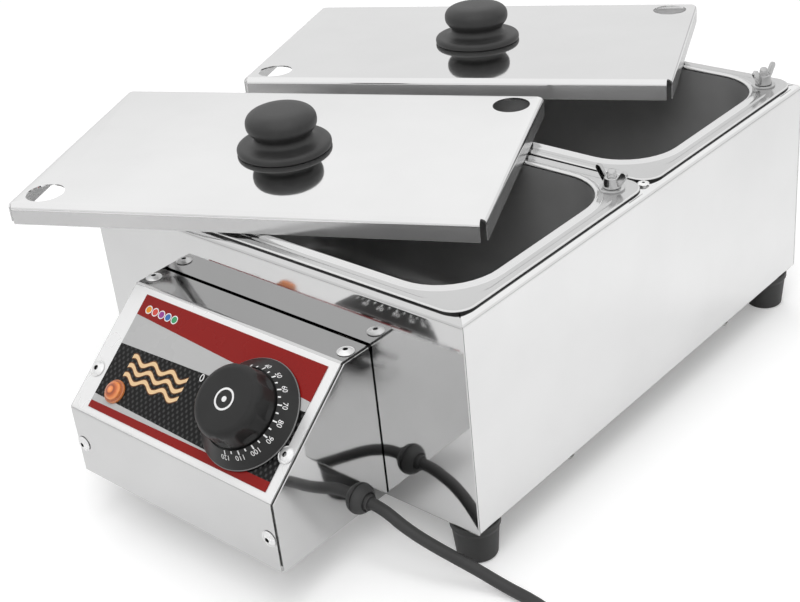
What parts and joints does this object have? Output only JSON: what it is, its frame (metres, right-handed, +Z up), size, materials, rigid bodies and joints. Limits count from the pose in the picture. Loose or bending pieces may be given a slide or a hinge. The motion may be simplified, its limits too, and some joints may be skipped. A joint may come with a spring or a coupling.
{
  "type": "chocolate melting tank",
  "caption": "Bench-top electric melting tank with lift-in pans, loose flat lids, wing-nut clamps, a sloping control box with a dial and lamp, and a mains cord.",
  "frame": {"origin": "on the floor plane under the middle of the casing, midway between the feet", "axes": "+Z up, -Y towards the control box at the front, +X to the right as seen from the front"},
  "size_m": [0.517, 0.5321, 0.1889],
  "materials": {
    "steel": "polished stainless sheet",
    "pan_steel": "satin stainless sheet",
    "zinc": "zinc-plated steel",
    "rivet_alloy": "bright aluminium",
    "black_moulding": "smooth black moulding",
    "printed_plate": "printed plate, stripes of red, grey and black",
    "amber_lens": "clear amber moulding",
    "pale_insulator": "pale ceramic-like moulding",
    "brass": "turned brass",
    "element_steel": "heat-darkened tube",
    "copper": "drawn copper",
    "white_wire": "silicone insulation",
    "brown_wire": "plain insulation",
    "earth_green": "green and yellow insulation",
    "rubber": "matt black rubber",
    "tie_strap": "soft strap",
    "pin_metal": "bright plated pins"
  },
  "bodies": {
    "casing": {"front_wall": "steel", "rear_wall": "steel", "left_wall": "steel", "right_wall": "steel", "bottom_plate": "zinc", "base_screws": "zinc", "bridge_rail": "steel", "bridge_rivets": "rivet_alloy", "stud_brackets": "zinc", "clamp_studs": "zinc", "clamp_washers": "zinc", "front_pan": "pan_steel", "rear_pan": "pan_steel", "feet": "rubber", "foot_screws": "zinc", "foot_nuts": "zinc", "control_housing": "steel", "control_cover": "steel", "cover_rivets": "rivet_alloy", "housing_rivets": "rivet_alloy", "faceplate": "printed_plate", "thermostat_body": "zinc", "thermostat_screws": "zinc", "pilot_lens": "amber_lens", "pilot_clip": "zinc", "pilot_holder": "pale_insulator", "terminal_block": "pale_insulator", "terminal_screws": "brass", "wire_bush": "rubber", "front_heater": "element_steel", "rear_heater": "element_steel", "heater_brackets": "zinc", "heater_insulators": "pale_insulator", "capillary": "copper", "sensing_bulb": "copper", "bulb_clips": "zinc", "heater_wires": "white_wire", "lamp_wires": "white_wire", "supply_wires": "brown_wire", "earth_wire": "earth_green", "earth_screw": "brass", "cord_gland": "rubber", "power_cord": "rubber", "cord_coil": "rubber", "coil_tie": "tie_strap", "plug": "rubber", "plug_pins": "pin_metal"},
    "front_lid": {"front_lid": "steel", "front_lid_knob": "black_moulding", "front_lid_screw": "zinc"},
    "rear_lid": {"rear_lid": "steel", "rear_lid_knob": "black_moulding", "rear_lid_screw": "zinc"},
    "dial": {"dial_knob": "black_moulding", "thermostat_shaft": "zinc"},
    "wing_nut_front_left": {"wing_nut_front_left": "zinc"},
    "wing_nut_front_right": {"wing_nut_front_right": "zinc"},
    "wing_nut_rear_left": {"wing_nut_rear_left": "zinc"},
    "wing_nut_rear_right": {"wing_nut_rear_right": "zinc"}
  },
  "joints": [
    {"name": "front_lid_lift", "type": "slide", "parent": "casing", "child": "front_lid", "axis": [0, 0, 1], "range_m": [0, 0.2]},
    {"name": "rear_lid_lift", "type": "slide", "parent": "casing", "child": "rear_lid", "axis": [0, 0, 1], "range_m": [0, 0.2]},
    {"name": "dial_turn", "type": "hinge", "parent": "casing", "child": "dial", "pos_m": [0.0365, -0.21732, 0.09152], "axis": [0, -0.6395, 0.7688], "range_deg": [0, 250]},
    {"name": "wing_nut_front_left_turn", "type": "hinge", "parent": "casing", "child": "wing_nut_front_left", "pos_m": [-0.1185, -0.149, 0.1525], "axis": [0, 0, 1], "range_deg": [0, 360]},
    {"name": "wing_nut_front_right_turn", "type": "hinge", "parent": "casing", "child": "wing_nut_front_right", "pos_m": [0.1185, -0.015, 0.1525], "axis": [0, 0, 1], "range_deg": [0, 360]},
    {"name": "wing_nut_rear_left_turn", "type": "hinge", "parent": "casing", "child": "wing_nut_rear_left", "pos_m": [-0.1185, 0.015, 0.1525], "axis": [0, 0, 1], "range_deg": [0, 360]},
    {"name": "wing_nut_rear_right_turn", "type": "hinge", "parent": "casing", "child": "wing_nut_rear_right", "pos_m": [0.1185, 0.149, 0.1525], "axis": [0, 0, 1], "range_deg": [0, 360]}
  ]
}
